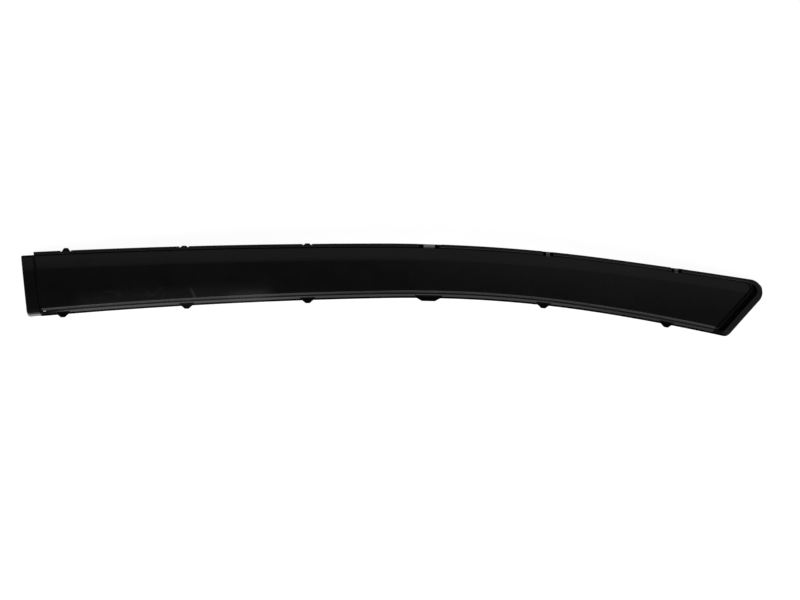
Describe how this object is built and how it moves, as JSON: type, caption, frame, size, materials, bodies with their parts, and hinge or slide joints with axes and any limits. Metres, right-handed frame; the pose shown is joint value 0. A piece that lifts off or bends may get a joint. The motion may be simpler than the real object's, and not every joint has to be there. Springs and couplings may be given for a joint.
{
  "type": "bumper moulding",
  "caption": "Long bowed black trim strip for a vehicle bumper, with a raised face, stepped joint tab, pointed tail and snap hooks behind both edges.",
  "frame": {"origin": "centre of the bounding box in X and Y, on the level that the strip rests on", "axes": "+X along the strip from the stepped joint end to the pointed tail, +Y across it towards the upper edge, +Z out of the show face"},
  "size_m": [0.742, 0.0768, 0.0685],
  "materials": {
    "moulded_plastic": "fine satin grain, as moulded, with faint scuffs"
  },
  "bodies": {
    "root": {"bumper_moulding": "moulded_plastic"}
  },
  "joints": []
}
